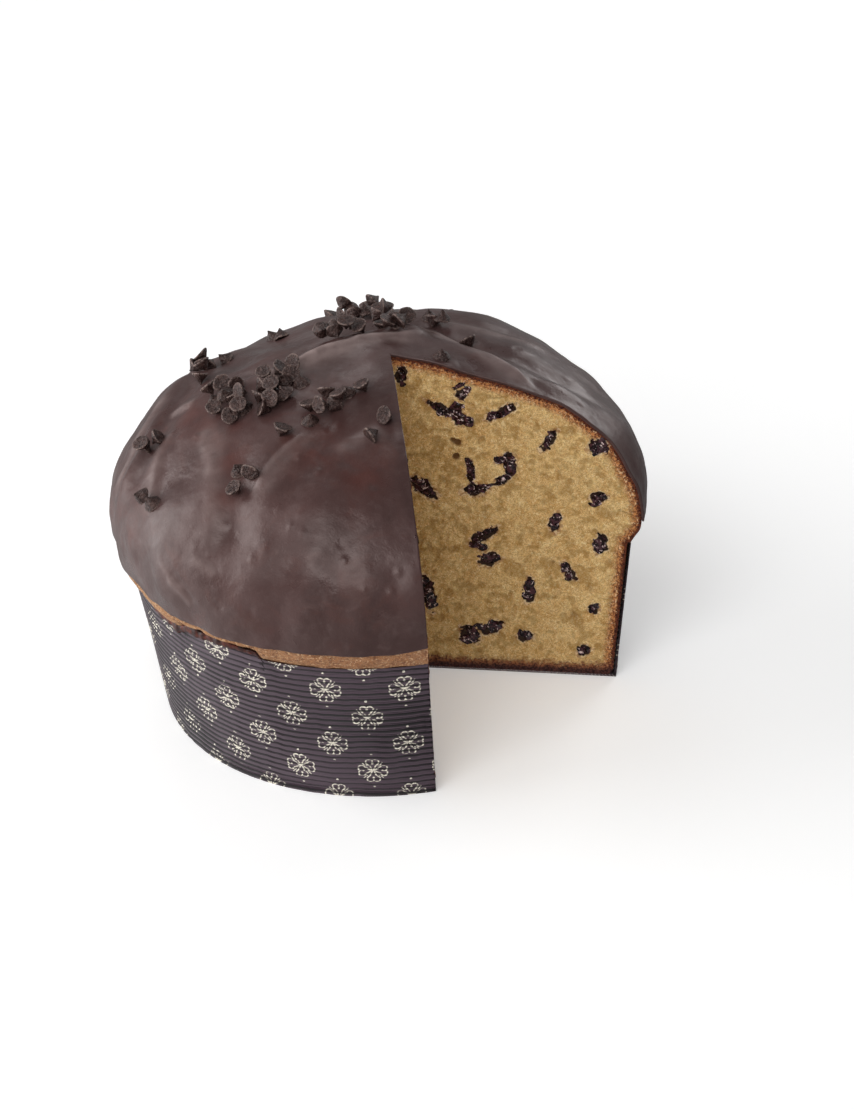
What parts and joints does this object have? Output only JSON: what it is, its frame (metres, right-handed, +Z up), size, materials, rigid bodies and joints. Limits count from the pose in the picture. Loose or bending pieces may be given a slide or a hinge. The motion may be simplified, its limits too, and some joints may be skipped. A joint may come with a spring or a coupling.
{
  "type": "chocolate chip panettone with a wedge cut out",
  "caption": "Low domed sweet loaf in a ribbed paper case, dipped in dark chocolate and strewn with chocolate chips, with one wedge cut out to show the crumb.",
  "frame": {"origin": "centre of the underside of the paper case", "axes": "+Z up through the top of the dome; the missing wedge opens towards -Y and +X"},
  "size_m": [0.2297, 0.2294, 0.1624],
  "materials": {
    "crumb": "baked yellow crumb with fine pores, orange brown crust",
    "chocolate": "satin dark chocolate",
    "paper": "ribbed dark paper with a pale printed pattern"
  },
  "bodies": {
    "root": {"crumb": "crumb", "glaze": "chocolate", "paper_case": "paper"}
  },
  "joints": []
}
